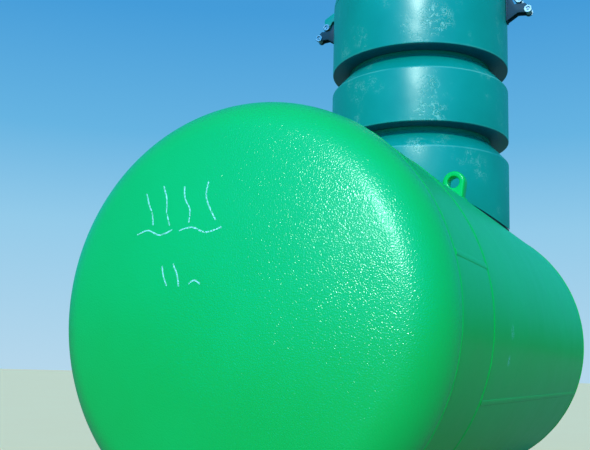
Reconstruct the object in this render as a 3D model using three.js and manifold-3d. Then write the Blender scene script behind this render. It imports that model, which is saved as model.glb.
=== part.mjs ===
// Domestic LPG tank for burial: a horizontal welded steel vessel with dished ends,
// standing on four welded feet, with a stacked plastic service neck and a closed lid.
// Millimetres, +Z up. X runs along the vessel, and the origin is under its middle, on the floor.
import * as THREE from 'three';
import { mergeVertices } from 'three/addons/utils/BufferGeometryUtils.js';
import Module from 'manifold-3d';

const wasm = await Module();
wasm.setup();

// Driving dimensions of the vessel
const tankRadius = 600;
const plate = 6.5;
const seamToSeam = 2050;
const crownRadius = 2100;
const knuckleRadius = 150;
const headSkirt = 2;
const nearCourseLength = 320;
const footClearance = 100;
const axisHeight = tankRadius + footClearance;
const gap = 0.3;

// Weld beads
const beadWidth = 14;
const beadHeight = 2.6;
const mainSeamAngle = -158;
const nearSeamAngle = 165;

// Lifting lugs: a thick eye on each side of the vessel, near its centre of gravity
const lugAlong = -16;
const lugSide = 289;
const lugThickness = 46;
const lugEyeRadius = 43;
const lugHoleRadius = 23;
const lugEyeHeight = 46;
const lugBaseWidth = 64;
const lugRootDepth = 45;

// Feet
const footAlong = 800;
const footSide = 255;
const footPlate = { along: 140, across: 200, thick: 12 };
const legWeb = { along: 100, across: 160, thick: 10 };

// Service neck, its levels measured up from the vessel's axis
const neckX = 412;
const neckRadius = 390;
const spigotRadius = 314;
const neckWall = 9;
const sealThickness = 6;
const sealSetBack = 2;
const sealOverhang = 6;
const moduleEdge = 6;
const neckLevels = {
  lowerShoulder: 755,
  middleBottom: 855,
  middleShoulder: 1083,
  upperBottom: 1182,
  upperTop: 1493,
};
const shoulderRise = 84;
const spigotRise = 50;
const lidCornerRadius = 120;
const lidCrownRise = 16;
const lidLip = 24;
const rimInset = 30;

// Lid latches, one on each side of the neck: levels above the vessel's axis, out from the neck's wall
const latchTurn = 5;
const latchEye = { out: 55, level: 1476, radius: 14, headRadius: 16 };
const latchHinge = { out: 93, level: 1427, radius: 17, headRadius: 17 };
const latchPin = { radius: 6, headThick: 5 };
const cheek = { inner: 14, thick: 6 };
const bracket = {
  bottom: 1384, topBelowEye: 5, kneeOut: 50, kneeLevel: 1417, noseReach: 13, noseRise: 7, heelReach: 6,
  crownLevel: 1486, crownOut: 24, saddleOut: 36,
  plateWidth: 48, plateThick: 6, shelfWidth: 36, shelfLength: 34, shelfThick: 7,
};
const ear = {
  rootReach: 60, rootBottom: 28, neckOut: 30, neckBottom: 26, throat: 3, noseDrop: 12, noseHalf: 8,
  browOut: 10, browRise: 40, crestOut: 20, crestRise: 68,
  slotLength: 60, slotHeight: 70, slotOut: 4, slotDrop: 5,
};
const link = { sidePlay: 2, strapThick: 9, eyeInset: 2, hingeInset: 3 };

const tankSegments = 64;
const neckSegments = 48;
const smallSegments = 16;

const finishes = {
  vesselCoat: { color: 0x14b569, roughness: 0.28, metalness: 0 },
  neckPlastic: { color: 0x0e8f8c, roughness: 0.42, metalness: 0 },
  sealRubber: { color: 0x1b1f1f, roughness: 0.85, metalness: 0 },
  galvanised: { color: 0xb9c2c4, roughness: 0.45, metalness: 1 },
  bracketNylon: { color: 0x0d3640, roughness: 0.5, metalness: 0 },
};

const group = new THREE.Group();

// Shared vertices merged, slivers dropped and faces turned outwards
function tidy(geometry) {
  const bare = geometry.clone();
  bare.deleteAttribute('normal');
  bare.deleteAttribute('uv');
  const merged = mergeVertices(bare, 1e-3);
  const old = merged.index.array;
  const kept = [];
  for (let i = 0; i < old.length; i += 3) {
    const [a, b, c] = [old[i], old[i + 1], old[i + 2]];
    if (a !== b && b !== c && a !== c) kept.push(a, b, c);
  }
  merged.setIndex(signedVolume(merged.attributes.position, kept) < 0 ? kept.reverse() : kept);
  return merged;
}

function signedVolume(position, index) {
  const [a, b, c] = [new THREE.Vector3(), new THREE.Vector3(), new THREE.Vector3()];
  let volume = 0;
  for (let i = 0; i < index.length; i += 3) {
    a.fromBufferAttribute(position, index[i]);
    b.fromBufferAttribute(position, index[i + 1]);
    c.fromBufferAttribute(position, index[i + 2]);
    volume += a.dot(b.cross(c)) / 6;
  }
  return volume;
}

function toSolid(geometry) {
  const closed = tidy(geometry);
  return new wasm.Manifold(new wasm.Mesh({
    numProp: 3,
    vertProperties: Float32Array.from(closed.attributes.position.array),
    triVerts: Uint32Array.from(closed.index.array),
  }));
}

function fromSolid(solid) {
  const mesh = solid.getMesh();
  const geometry = new THREE.BufferGeometry();
  geometry.setAttribute('position', new THREE.BufferAttribute(mesh.vertProperties, 3));
  geometry.setIndex(new THREE.BufferAttribute(mesh.triVerts, 1));
  return geometry;
}

function add(name, geometry, finish, parent = group) {
  const mesh = new THREE.Mesh(geometry, new THREE.MeshStandardMaterial(finishes[finish]));
  mesh.name = name;
  parent.add(mesh);
  return mesh;
}

// A profile of [radius, height] pairs turned about +Z
function turned(profile, segments) {
  const points = profile.map(([r, h]) => new THREE.Vector2(r, h));
  return tidy(new THREE.LatheGeometry(points, segments).rotateX(Math.PI / 2));
}

// A profile of [radius, x] pairs turned about the vessel's axis, which is +X at z = 0
function turnedAlong(profile, segments) {
  const points = profile.map(([r, x]) => new THREE.Vector2(r, x));
  return tidy(new THREE.LatheGeometry(points, segments).rotateZ(-Math.PI / 2));
}

// A flat outline of [across, up] pairs, given a thickness that is centred on its plane.
// The outline stands in the YZ plane and the thickness runs along X.
function standingPlate(shape, thickness) {
  const options = { depth: thickness, bevelEnabled: false, curveSegments: 10 };
  const geometry = new THREE.ExtrudeGeometry(shape, options).translate(0, 0, -thickness / 2);
  return tidy(geometry.rotateX(Math.PI / 2).rotateZ(Math.PI / 2));
}

function outlined(points) {
  return new THREE.Shape(points.map(([a, b]) => new THREE.Vector2(a, b)));
}

function box(xSize, ySize, zSize, x, y, z) {
  return new THREE.BoxGeometry(xSize, ySize, zSize).translate(x, y, z);
}

// Points on an arc in a [radius, height] plane, angles in radians from the +radius direction
function arc(centreR, centreH, radius, from, to, steps) {
  return Array.from({ length: steps + 1 }, (_, i) => {
    const angle = from + (to - from) * i / steps;
    return [centreR + radius * Math.cos(angle), centreH + radius * Math.sin(angle)];
  });
}

// Vessel: two dished ends, a narrow course and the main course
const seamX = seamToSeam / 2;
const courseX = -seamX + nearCourseLength;

// Dished end profile from the open edge to the pole, for a skin set in by inset
function dishedProfile(inset, crownSteps, knuckleSteps) {
  const crown = crownRadius - inset;
  const knuckle = knuckleRadius - inset;
  const ringRadius = tankRadius - knuckleRadius;
  const crownCentre = headSkirt - Math.sqrt((crownRadius - knuckleRadius) ** 2 - ringRadius ** 2);
  const join = Math.acos(ringRadius / (crownRadius - knuckleRadius));
  const round = arc(ringRadius, headSkirt, knuckle, 0, join, knuckleSteps);
  const dome = arc(0, crownCentre, crown, join, Math.PI / 2, crownSteps).slice(1);
  dome[dome.length - 1][0] = 0;
  return [...round, ...dome];
}

const outerSkin = dishedProfile(0, 5, 7);
const innerSkin = dishedProfile(plate, 2, 3);
const headProfile = [
  [tankRadius - plate, gap / 2],
  [tankRadius, gap / 2],
  ...outerSkin,
  ...innerSkin.reverse(),
  [tankRadius - plate, gap / 2],
];
const farHead = turnedAlong(headProfile, tankSegments).translate(seamX, 0, axisHeight);
add('far_head', farHead, 'vesselCoat');
const nearHead = turnedAlong(headProfile, tankSegments).rotateZ(Math.PI).translate(-seamX, 0, axisHeight);
add('near_head', nearHead, 'vesselCoat');

function course(name, from, to) {
  const ring = [[tankRadius - plate, from], [tankRadius, from], [tankRadius, to], [tankRadius - plate, to]];
  add(name, turnedAlong([...ring, ring[0]], tankSegments).translate(0, 0, axisHeight), 'vesselCoat');
}

course('near_course', -seamX + gap / 2, courseX - gap / 2);
course('main_course', courseX + gap / 2, seamX - gap / 2);

// Weld beads: low crowned caps over the seams
const beadBase = tankRadius + gap;
const beadCap = [
  [beadBase, -beadWidth / 2],
  [beadBase, beadWidth / 2],
  [beadBase + beadHeight, beadWidth / 5],
  [beadBase + beadHeight, -beadWidth / 5],
];

function ringBead(name, x) {
  const profile = [...beadCap, beadCap[0]].map(([r, w]) => [r, w + x]);
  add(name, turnedAlong(profile, tankSegments).translate(0, 0, axisHeight), 'vesselCoat');
}

function longBead(name, from, to, degrees) {
  const strip = standingPlate(outlined(beadCap), to - from);
  const turn = THREE.MathUtils.degToRad(degrees);
  add(name, strip.rotateX(turn).translate((from + to) / 2, 0, axisHeight), 'vesselCoat');
}

const beadStop = beadWidth / 2 + gap;
ringBead('near_head_weld', -seamX);
ringBead('course_weld', courseX);
ringBead('far_head_weld', seamX);
longBead('near_course_seam', -seamX + beadStop, courseX - beadStop, nearSeamAngle);
longBead('main_course_seam', courseX + beadStop, seamX - beadStop, mainSeamAngle);

// The vessel's outside as one plain bar, grown by the fitting gap, for cutting what stands on it
function vesselCutter(clearance, x, z) {
  const radius = tankRadius + clearance;
  const half = seamToSeam / 2;
  const bar = turnedAlong([[0, -half], [radius, -half], [radius, half], [0, half]], tankSegments * 2);
  return toSolid(bar.translate(x, 0, z));
}

const onShell = vesselCutter(gap, 0, axisHeight);

// Lifting lugs
function lugGeometry() {
  const foot = lugEyeHeight + lugRootDepth;
  const shape = new THREE.Shape();
  shape.moveTo(-lugBaseWidth / 2, -foot);
  shape.lineTo(lugBaseWidth / 2, -foot);
  shape.lineTo(lugEyeRadius, 0);
  shape.absarc(0, 0, lugEyeRadius, 0, Math.PI, false);
  const hole = new THREE.Path();
  hole.absarc(0, 0, lugHoleRadius, 0, Math.PI * 2, true);
  shape.holes.push(hole);
  return standingPlate(shape, lugThickness);
}

const lugCentreZ = axisHeight + Math.sqrt(tankRadius ** 2 - lugSide ** 2) + lugEyeHeight;
for (const [side, y] of [['right', -lugSide], ['left', lugSide]]) {
  const lug = toSolid(lugGeometry().translate(lugAlong, y, lugCentreZ)).subtract(onShell);
  add(`lifting_lug_${side}`, fromSolid(lug), 'vesselCoat');
}

// Feet: a base plate and a crossed web that is cut to the shell
for (const [end, x] of [['near', -footAlong], ['far', footAlong]]) {
  for (const [side, y] of [['right', -footSide], ['left', footSide]]) {
    const webBottom = footPlate.thick + gap;
    const webTop = axisHeight - tankRadius / 2;
    const height = webTop - webBottom;
    const middle = (webTop + webBottom) / 2;
    const crossWeb = toSolid(box(legWeb.thick, legWeb.across, height, x, y, middle));
    const longWeb = toSolid(box(legWeb.along, legWeb.thick, height, x, y, middle));
    add(`foot_web_${end}_${side}`, fromSolid(crossWeb.add(longWeb).subtract(onShell)), 'vesselCoat');
    const base = box(footPlate.along, footPlate.across, footPlate.thick, x, y, footPlate.thick / 2);
    add(`foot_plate_${end}_${side}`, tidy(base), 'vesselCoat');
  }
}

// Service neck: three plastic modules, each plugged on the spigot of the one below
const neck = new THREE.Group();
neck.position.set(neckX, 0, axisHeight);
group.add(neck);

function moduleProfile(bottom, shoulder, hasFloor) {
  const top = shoulder + shoulderRise;
  const slope = neckWall * 0.45;
  const outside = [
    [neckRadius - moduleEdge, bottom],
    [neckRadius, bottom + moduleEdge],
    [neckRadius, shoulder],
    [spigotRadius, top],
    [spigotRadius, top + spigotRise],
  ];
  const inside = [
    [spigotRadius - neckWall, top + spigotRise],
    [spigotRadius - neckWall, top - slope],
    [neckRadius - neckWall, shoulder - slope],
  ];
  const floor = hasFloor
    ? [
      [neckRadius - neckWall, bottom + neckWall],
      [spigotRadius + gap, bottom + neckWall],
      [spigotRadius + gap, bottom],
    ]
    : [[neckRadius - neckWall, bottom]];
  const profile = [...outside, ...inside, ...floor];
  return [...profile, profile[0]];
}

const footLevel = tankRadius / 2;
const lowerTube = toSolid(turned(moduleProfile(footLevel, neckLevels.lowerShoulder, false), neckSegments));
const footCutter = vesselCutter(gap * 2 + sealThickness, -neckX, 0);
add('neck_lower', fromSolid(lowerTube.subtract(footCutter)), 'neckPlastic', neck);
const middleProfile = moduleProfile(neckLevels.middleBottom, neckLevels.middleShoulder, true);
add('neck_middle', turned(middleProfile, neckSegments), 'neckPlastic', neck);

const upperProfile = [
  [spigotRadius + gap, neckLevels.upperBottom],
  [neckRadius - moduleEdge, neckLevels.upperBottom],
  [neckRadius, neckLevels.upperBottom + moduleEdge],
  [neckRadius, neckLevels.upperTop],
  [neckRadius - rimInset, neckLevels.upperTop],
  [neckRadius - rimInset, neckLevels.upperTop - neckWall],
  [neckRadius - neckWall, neckLevels.upperTop - neckWall],
  [neckRadius - neckWall, neckLevels.upperBottom + neckWall],
  [spigotRadius + gap, neckLevels.upperBottom + neckWall],
];
add('neck_upper', turned([...upperProfile, upperProfile[0]], neckSegments), 'neckPlastic', neck);

// Rubber seal between the neck's saddle-shaped foot and the shell
const sealInside = neckRadius - neckWall - sealOverhang;
const sealOutside = neckRadius - sealSetBack;
const sealTop = tankRadius + neckWall + sealThickness;
const sealTube = toSolid(turned([
  [sealInside, footLevel],
  [sealOutside, footLevel],
  [sealOutside, sealTop],
  [sealInside, sealTop],
  [sealInside, footLevel],
], neckSegments));
const sealOuter = vesselCutter(gap + sealThickness, -neckX, 0);
const sealInner = vesselCutter(gap, -neckX, 0);
add('neck_seal', fromSolid(sealTube.intersect(sealOuter).subtract(sealInner)), 'sealRubber', neck);

// Lid: a shallow dome with a broad rounded corner and a lip inside the neck's rim
const lidBottom = neckLevels.upperTop + gap;
const lidTop = lidBottom + lidCornerRadius;
const lidSteps = 6;

function lidSkin(inset, steps) {
  const round = arc(neckRadius - lidCornerRadius, lidBottom, lidCornerRadius - inset, 0, Math.PI / 2, steps);
  return [...round, [0, lidTop + lidCrownRise - inset]];
}

const lipRadius = neckRadius - rimInset - gap;
const lidProfile = [
  [lipRadius - neckWall, lidBottom - lidLip],
  [lipRadius, lidBottom - lidLip],
  [lipRadius, lidBottom],
  ...lidSkin(0, lidSteps),
  ...lidSkin(neckWall, lidSteps / 2).reverse().slice(0, -1),
  [lipRadius - neckWall, lidBottom + lidCornerRadius / 3],
  [lipRadius - neckWall, lidBottom - lidLip],
];
add('neck_lid', turned(lidProfile, neckSegments), 'neckPlastic', neck);
const lidOutside = turned([
  [0, lidBottom - lidLip],
  [neckRadius + gap, lidBottom - lidLip],
  ...lidSkin(-gap, lidSteps),
], neckSegments);
const lidCutter = toSolid(lidOutside.rotateZ(THREE.MathUtils.degToRad(-latchTurn)));

// Latches. In a latch's own frame +X is away from the neck's axis, +Z is up,
// and Y runs along the hinge pins.
function latchPlate(outline, from, to) {
  const geometry = new THREE.ExtrudeGeometry(outlined(outline), { depth: to - from, bevelEnabled: false });
  return toSolid(geometry.rotateX(Math.PI / 2).translate(0, to, 0));
}

function barrel(radius, length, x, z) {
  return toSolid(new THREE.CylinderGeometry(radius, radius, length, smallSegments).translate(x, 0, z));
}

const wallX = neckRadius + gap;
const eyeX = wallX + latchEye.out;
const hingeX = wallX + latchHinge.out;
const cheekOuter = cheek.inner + cheek.thick;
const boreRadius = latchPin.radius + gap;
const bracketTop = latchEye.level - latchEye.radius - bracket.topBelowEye;

function latchBracket() {
  const { bottom, plateThick, shelfThick, shelfLength, noseReach, noseRise } = bracket;
  const outline = [
    [wallX, bottom],
    [wallX + bracket.kneeOut, bracket.kneeLevel],
    [hingeX - bracket.heelReach, latchHinge.level - latchHinge.radius],
    [hingeX + noseReach, latchHinge.level - noseRise],
    [hingeX + noseReach, latchHinge.level + noseRise],
    [hingeX - noseReach, bracketTop],
    [wallX + bracket.saddleOut, bracketTop],
    [wallX + bracket.crownOut, bracket.crownLevel],
    [wallX, bracket.crownLevel],
  ];
  const plateX = wallX + plateThick / 2;
  const shelfX = wallX + shelfLength / 2;
  const plateZ = (bottom + bracket.crownLevel) / 2;
  const wallPlate = box(plateThick, bracket.plateWidth, bracket.crownLevel - bottom, plateX, 0, plateZ);
  const shelf = box(shelfLength, bracket.shelfWidth, shelfThick, shelfX, 0, bracketTop - shelfThick / 2);
  return toSolid(wallPlate)
    .add(toSolid(shelf))
    .add(latchPlate(outline, cheek.inner, cheekOuter))
    .add(latchPlate(outline, -cheekOuter, -cheek.inner))
    .subtract(barrel(boreRadius, cheekOuter * 4, hingeX, latchHinge.level));
}

function lidEar() {
  const { level, radius } = latchEye;
  const outline = [
    [wallX - ear.rootReach, level + ear.rootBottom],
    [eyeX - ear.neckOut, level + ear.neckBottom],
    [eyeX - radius, level - ear.throat],
    [eyeX - ear.noseHalf, level - ear.noseDrop],
    [eyeX + ear.noseHalf, level - ear.noseDrop],
    [eyeX + radius, level],
    [eyeX + ear.browOut, level + ear.browRise],
    [wallX + ear.crestOut, level + ear.crestRise],
    [wallX - ear.rootReach, level + ear.crestRise],
  ];
  const slotWidth = cheek.inner * 2 - link.sidePlay;
  const slot = box(ear.slotLength, slotWidth, ear.slotHeight, eyeX + ear.slotOut, 0, level - ear.slotDrop);
  return latchPlate(outline, -cheekOuter, cheekOuter)
    .subtract(toSolid(slot))
    .subtract(barrel(boreRadius, cheekOuter * 4, eyeX, level))
    .subtract(lidCutter);
}

// Galvanised link: two rolled eyes and the strap between them
function latchLink() {
  const width = (cheek.inner - link.sidePlay) * 2;
  const dx = hingeX - eyeX;
  const dz = latchHinge.level - latchEye.level;
  const strap = new THREE.BoxGeometry(Math.hypot(dx, dz), width, link.strapThick);
  strap.rotateY(Math.atan2(-dz, dx)).translate(eyeX + dx / 2, 0, latchEye.level + dz / 2);
  return toSolid(strap)
    .add(barrel(latchEye.radius - link.eyeInset, width, eyeX, latchEye.level))
    .add(barrel(latchHinge.radius - link.hingeInset, width, hingeX, latchHinge.level))
    .subtract(barrel(boreRadius, width * 2, eyeX, latchEye.level))
    .subtract(barrel(boreRadius, width * 2, hingeX, latchHinge.level));
}

// Pin with a washer-sized head on each end
function pinGeometry(x, seat) {
  const half = cheekOuter + gap;
  const end = half + latchPin.headThick;
  const profile = [
    [0, -end],
    [seat.headRadius, -end],
    [seat.headRadius, -half],
    [latchPin.radius, -half],
    [latchPin.radius, half],
    [seat.headRadius, half],
    [seat.headRadius, end],
    [0, end],
  ];
  const points = profile.map(([r, h]) => new THREE.Vector2(r, h));
  return tidy(new THREE.LatheGeometry(points, smallSegments).translate(x, 0, seat.level));
}

for (const [side, heading] of [['right', -90], ['left', 90]]) {
  const latch = new THREE.Group();
  latch.rotation.z = THREE.MathUtils.degToRad(heading + latchTurn);
  neck.add(latch);
  add(`latch_bracket_${side}`, fromSolid(latchBracket()), 'bracketNylon', latch);
  add(`lid_ear_${side}`, fromSolid(lidEar()), 'neckPlastic', latch);
  add(`latch_link_${side}`, fromSolid(latchLink()), 'galvanised', latch);
  add(`latch_eye_pin_${side}`, pinGeometry(eyeX, latchEye), 'galvanised', latch);
  add(`latch_hinge_pin_${side}`, pinGeometry(hingeX, latchHinge), 'galvanised', latch);
}

export default group;
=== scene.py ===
import math
import random

import bmesh
import bpy
from mathutils import Matrix, Vector


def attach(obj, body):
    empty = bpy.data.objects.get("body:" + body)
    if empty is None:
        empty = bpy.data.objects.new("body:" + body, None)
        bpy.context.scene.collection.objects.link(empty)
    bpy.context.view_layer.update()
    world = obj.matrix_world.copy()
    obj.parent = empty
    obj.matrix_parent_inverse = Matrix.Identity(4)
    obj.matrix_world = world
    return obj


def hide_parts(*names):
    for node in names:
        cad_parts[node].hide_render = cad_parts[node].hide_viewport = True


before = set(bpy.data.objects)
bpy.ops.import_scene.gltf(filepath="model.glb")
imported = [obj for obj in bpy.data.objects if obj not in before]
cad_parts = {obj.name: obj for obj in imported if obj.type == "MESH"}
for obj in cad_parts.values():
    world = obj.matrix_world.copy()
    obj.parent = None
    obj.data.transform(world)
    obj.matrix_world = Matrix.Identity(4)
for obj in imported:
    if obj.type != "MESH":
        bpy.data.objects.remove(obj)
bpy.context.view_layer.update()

print("frame loaded:", len(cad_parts), "CAD nodes")

# Metres, in the CAD frame: X along the tank, Z up, the floor at z = 0.
tank = {
    "radius": 0.600,
    "axisZ": 0.700,
    "plate": 0.0065,
    "seamX": 1.025,  # ring seams of the dished ends, at plus and minus
    "courseX": -0.705,  # ring seam between the narrow and the long course
    "crown": 2.100,  # radius of the dished end's middle
    "knuckle": 0.150,  # radius of its rounded edge
    "flange": 0.002,
}
tankMiddle = (0, 0, tank["axisZ"])


def onShell(y, above=0.0, way=1):  # height of the shell's top (way 1) or underside (way -1) at this y
    return tank["axisZ"] + way * math.sqrt((tank["radius"] + above) ** 2 - y ** 2)


# Modelling helpers

def deselectAll():
    bpy.ops.object.select_all(action="DESELECT")


def takeUp(obj):
    deselectAll()
    obj.select_set(True)
    bpy.context.view_layer.objects.active = obj


def nameIt(name):
    obj = bpy.context.object
    obj.name = obj.data.name = name
    return obj


def settle(obj):  # the object goes to the origin and its place into its mesh
    takeUp(obj)
    bpy.ops.object.transform_apply(location=True, rotation=True, scale=True)
    return obj


def withModifier(obj, kind, **settings):
    takeUp(obj)
    modifier = obj.modifiers.new(kind.title(), kind)
    for key, value in settings.items():
        setattr(modifier, key, value)
    bpy.ops.object.modifier_apply(modifier=modifier.name)


def softBevel(obj, width, angle=30):
    withModifier(obj, "BEVEL", width=width, segments=2, limit_method="ANGLE",
                 angle_limit=math.radians(angle))


def softened(corners, steps=5):  # (radius, height, rounding) corners to a closed, rounded profile
    points = []
    for i, (radius, height, rounding) in enumerate(corners):
        here = Vector((radius, height))
        if not rounding:
            points.append(here)
            continue
        before = Vector(corners[i - 1][:2]) - here
        after = Vector(corners[(i + 1) % len(corners)][:2]) - here
        reach = min(rounding, before.length * 0.49, after.length * 0.49)  # neighbours never meet
        start, end = here + before.normalized() * reach, here + after.normalized() * reach
        for k in range(steps + 1):
            t = k / steps
            points.append(start * (1 - t) ** 2 + here * 2 * t * (1 - t) + end * t * t)
    return [(p.x, p.y) for p in points] + [(points[0].x, points[0].y)]


def spunShape(name, profile, steps, along="Z", centre=(0, 0, 0)):
    # a closed (radius, height) profile, drawn point by point and spun round the axis through the centre
    axis = {"X": Vector((1, 0, 0)), "Y": Vector((0, 1, 0)), "Z": Vector((0, 0, 1))}[along]
    outward = Vector((0, 0, 1)) if along == "X" else Vector((1, 0, 0))
    centre = Vector(centre)
    places = [centre + outward * radius + axis * height for radius, height in profile]
    deselectAll()
    bpy.ops.mesh.primitive_plane_add(size=0.001, location=places[0])
    obj = nameIt(name)
    bpy.ops.object.mode_set(mode="EDIT")
    bpy.ops.mesh.select_mode(type="VERT")
    bpy.ops.mesh.select_all(action="SELECT")
    bpy.ops.mesh.merge(type="CENTER")
    for here, there in zip(places, places[1:]):
        bpy.ops.mesh.extrude_region_move(TRANSFORM_OT_translate={"value": tuple(there - here)})
    bpy.ops.mesh.select_all(action="SELECT")
    bpy.ops.mesh.spin(steps=steps, angle=math.tau, center=centre, axis=axis)
    bpy.ops.mesh.select_all(action="SELECT")
    bpy.ops.mesh.remove_doubles(threshold=0.00002)
    bpy.ops.mesh.normals_make_consistent(inside=False)
    bpy.ops.object.mode_set(mode="OBJECT")
    return settle(obj)


def raisedFace(name, corners, pull):  # a flat face with these corners, pulled out to a solid
    deselectAll()
    bpy.ops.mesh.primitive_circle_add(vertices=len(corners), radius=0.01, fill_type="NGON")
    obj = nameIt(name)
    for vertex, corner in zip(obj.data.vertices, corners):
        vertex.co = corner
    bpy.ops.object.mode_set(mode="EDIT")
    bpy.ops.mesh.select_all(action="SELECT")
    bpy.ops.mesh.extrude_region_move(TRANSFORM_OT_translate={"value": pull})
    bpy.ops.mesh.select_all(action="SELECT")
    bpy.ops.mesh.normals_make_consistent(inside=False)
    bpy.ops.object.mode_set(mode="OBJECT")
    return settle(obj)


def platePiece(name, outline, thickness, middle=0.0):  # an (x, z) outline, thickened evenly round y = middle
    corners = [(x, middle - thickness / 2, z) for x, z in outline]
    return raisedFace(name, corners, (0, thickness, 0))


def boxPiece(name, size, centre):
    deselectAll()
    bpy.ops.mesh.primitive_cube_add(size=1, location=centre)
    obj = nameIt(name)
    bpy.ops.object.mode_set(mode="EDIT")
    bpy.ops.transform.resize(value=size, center_override=centre)
    bpy.ops.object.mode_set(mode="OBJECT")
    return settle(obj)


def joined(name, pieces):
    deselectAll()
    for piece in pieces:
        piece.select_set(True)
    bpy.context.view_layer.objects.active = pieces[0]
    bpy.ops.object.join()
    return nameIt(name)


def copyOf(obj, name, matrix):
    copy = obj.copy()
    copy.data = obj.data.copy()
    copy.name = copy.data.name = name
    bpy.context.collection.objects.link(copy)
    copy.data.transform(matrix)
    return copy


def evenPath(corners, count):  # evenly spaced points round a closed outline, each with its outward direction
    sides = [(Vector(a), Vector(b)) for a, b in zip(corners, corners[1:] + corners[:1])]
    total = sum((b - a).length for a, b in sides)
    path = []
    for k in range(count):
        left = total * k / count
        for a, b in sides:
            if left <= (b - a).length:
                run = (b - a).normalized()
                path.append((a + run * left, Vector((run.y, -run.x))))
                break
            left -= (b - a).length
    smooth = []
    for k, (point, out) in enumerate(path):
        near = path[k - 1][1] + out * 2 + path[(k + 1) % count][1]
        smooth.append((point, near.normalized()))
    return smooth


fillet = {"sides": 8, "ripple": 0.10, "beat": 2.1}


def filletWeld(name, corners, drop, size, count):
    # a bead round the outline, in the corner between a plate and the surface at drop(y)
    path = evenPath(corners, count)
    deselectAll()
    bpy.ops.mesh.primitive_torus_add(major_segments=count, minor_segments=fillet["sides"], major_radius=1,
                                     minor_radius=size)
    obj = nameIt(name)
    rng = random.Random(name)
    ripple = fillet["ripple"]
    swell = [1 + ripple * math.sin(k * fillet["beat"]) + rng.uniform(-ripple, ripple) for k in range(count)]
    for vertex in obj.data.vertices:
        turn = math.atan2(vertex.co.y, vertex.co.x) % math.tau
        k = round(turn / math.tau * count) % count
        point, out = path[k]
        away = (math.hypot(vertex.co.x, vertex.co.y) - 1) * swell[k]
        flat = point + out * away
        vertex.co = Vector((flat.x, flat.y, drop(point.y) + vertex.co.z * swell[k]))
    return settle(obj)


# Materials

def hexColour(code):  # sRGB hex to linear
    channels = [int(code[i:i + 2], 16) / 255 for i in (1, 3, 5)]
    return tuple(c / 12.92 if c <= 0.04045 else ((c + 0.055) / 1.055) ** 2.4 for c in channels) + (1,)


def setSockets(tree, node, inputs):  # each input gets a link, a hex colour or a plain value
    for key, value in inputs.items():
        if isinstance(value, bpy.types.NodeSocket):
            tree.links.new(value, node.inputs[key])
        else:
            node.inputs[key].default_value = hexColour(value) if isinstance(value, str) else value


def addNode(tree, kind, inputs=None, **settings):
    # inputs go by name or number; MapRange: 0 value, 1 and 2 from, 3 and 4 to; Mix: 0 share, 6 and 7 colours
    node = tree.nodes.new("ShaderNode" + kind)
    for key, value in settings.items():
        setattr(node, key, value)
    setSockets(tree, node, inputs or {})
    return node


def startMaterial(name):
    material = bpy.data.materials.new(name)
    material.use_nodes = True
    tree = material.node_tree
    return material, tree, tree.nodes["Principled BSDF"], addNode(tree, "TexCoord").outputs["Object"]


def nearSpots(tree, place, spots):  # 1 round the middle of any of the spots, falling to 0 at its reach
    level = 0.0
    for spot, reach in spots:
        away = addNode(tree, "VectorMath", {0: place, 1: spot}, operation="DISTANCE").outputs["Value"]
        fade = addNode(tree, "MapRange", {0: away, 1: reach * 0.35, 2: reach, 3: 1.0, 4: 0.0}).outputs[0]
        level = addNode(tree, "Math", {0: fade, 1: level}, operation="MAXIMUM").outputs[0]
    return level


def scratchLines(tree, place, scale, width, stretch=(1, 1, 1)):
    # thin curling lines, where a noise field crosses its middle value
    drawn = addNode(tree, "VectorMath", {0: place, 1: stretch}, operation="MULTIPLY").outputs[0]
    field = addNode(tree, "TexNoise", {0: drawn, "Scale": scale, "Detail": 1.0, "Distortion": 0.8})
    offset = addNode(tree, "Math", {0: field.outputs["Fac"], 1: 0.5}, operation="SUBTRACT").outputs[0]
    size = addNode(tree, "Math", {0: offset}, operation="ABSOLUTE").outputs[0]
    return addNode(tree, "MapRange", {0: size, 1: width * 0.4, 2: width, 3: 1.0, 4: 0.0}).outputs[0]


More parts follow.
